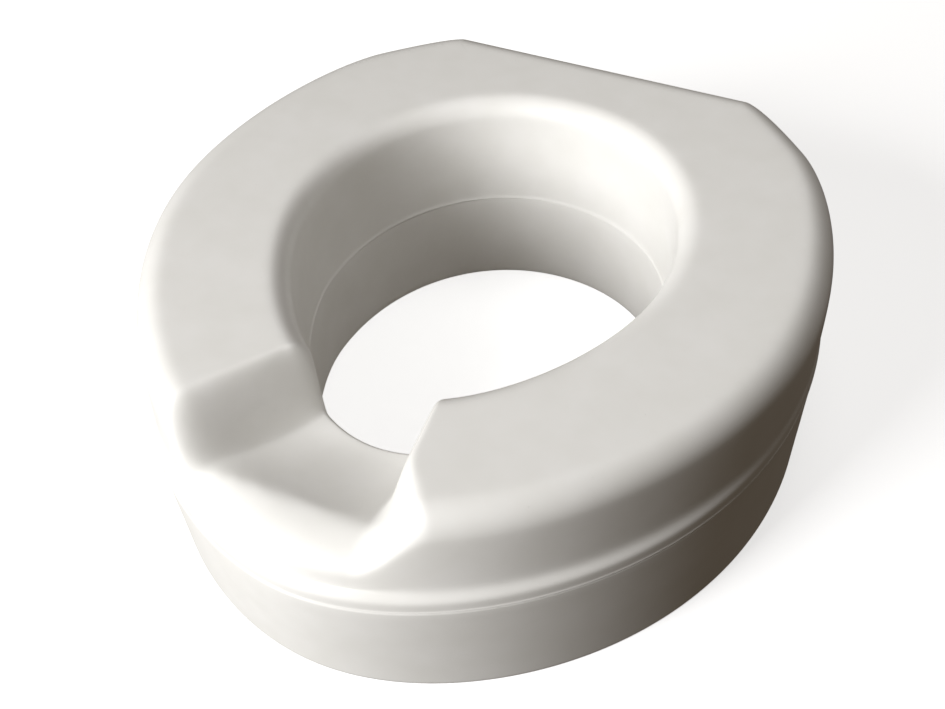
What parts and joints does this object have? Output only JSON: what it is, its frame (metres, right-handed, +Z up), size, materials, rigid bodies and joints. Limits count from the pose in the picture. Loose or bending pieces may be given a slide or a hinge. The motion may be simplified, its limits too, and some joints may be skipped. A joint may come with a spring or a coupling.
{
  "type": "raised toilet seat",
  "caption": "Raised toilet seat: D-shaped foam ring with a front recess, grip pads and sliding side clamps under a hollow skirt.",
  "frame": {"origin": "centre of the seat's box in plan, at the lowest edge of the base", "axes": "+Z up, -Y towards the front recess, +Y towards the straight back, +X to the right seen from the front looking back"},
  "size_m": [0.4, 0.4236, 0.141],
  "materials": {
    "seat_skin": "off-white integral-skin polyurethane foam, matt, with fine pores",
    "plywood": "birch plywood, sanded and sealed",
    "zinc_steel": "zinc-plated steel",
    "brass": "turned brass, plain",
    "grip_rubber": "dark grey rubber, matt",
    "bracket_nylon": "moulded nylon, light grey, satin",
    "nut_plastic": "moulded nylon, black, fine texture"
  },
  "bodies": {
    "seat": {"seat_upper": "seat_skin", "seat_lower": "seat_skin", "stiffener_ring": "plywood", "joining_screw_1": "zinc_steel", "joining_screw_2": "zinc_steel", "joining_screw_3": "zinc_steel", "joining_screw_4": "zinc_steel", "joining_screw_5": "zinc_steel", "joining_screw_6": "zinc_steel", "screw_washer_1": "zinc_steel", "screw_washer_2": "zinc_steel", "screw_washer_3": "zinc_steel", "screw_washer_4": "zinc_steel", "screw_washer_5": "zinc_steel", "screw_washer_6": "zinc_steel", "threaded_insert_1": "brass", "threaded_insert_2": "brass", "threaded_insert_3": "brass", "threaded_insert_4": "brass", "threaded_insert_5": "brass", "threaded_insert_6": "brass", "grip_pad_1": "grip_rubber", "grip_pad_2": "grip_rubber", "grip_pad_3": "grip_rubber", "grip_pad_4": "grip_rubber", "clamp_stud_left": "zinc_steel", "clamp_stud_right": "zinc_steel", "clamp_washer_left": "zinc_steel", "clamp_washer_right": "zinc_steel"},
    "clamp_left": {"clamp_bracket_left": "bracket_nylon", "clamp_grip_left": "grip_rubber"},
    "clamp_right": {"clamp_bracket_right": "bracket_nylon", "clamp_grip_right": "grip_rubber"},
    "nut_left": {"thumb_nut_left": "nut_plastic"},
    "nut_right": {"thumb_nut_right": "nut_plastic"}
  },
  "joints": [
    {"name": "clamp_left_slide", "type": "slide", "parent": "seat", "child": "clamp_left", "axis": [1, 0, 0], "range_m": [0, 0.012]},
    {"name": "clamp_right_slide", "type": "slide", "parent": "seat", "child": "clamp_right", "axis": [-1, 0, 0], "range_m": [0, 0.012]},
    {"name": "nut_left_turn", "type": "hinge", "parent": "seat", "child": "nut_left", "pos_m": [-0.152, 0.005, 0.031], "axis": [0, 0, 1], "range_deg": [0, 360]},
    {"name": "nut_right_turn", "type": "hinge", "parent": "seat", "child": "nut_right", "pos_m": [0.152, 0.005, 0.031], "axis": [0, 0, 1], "range_deg": [0, 360]}
  ]
}
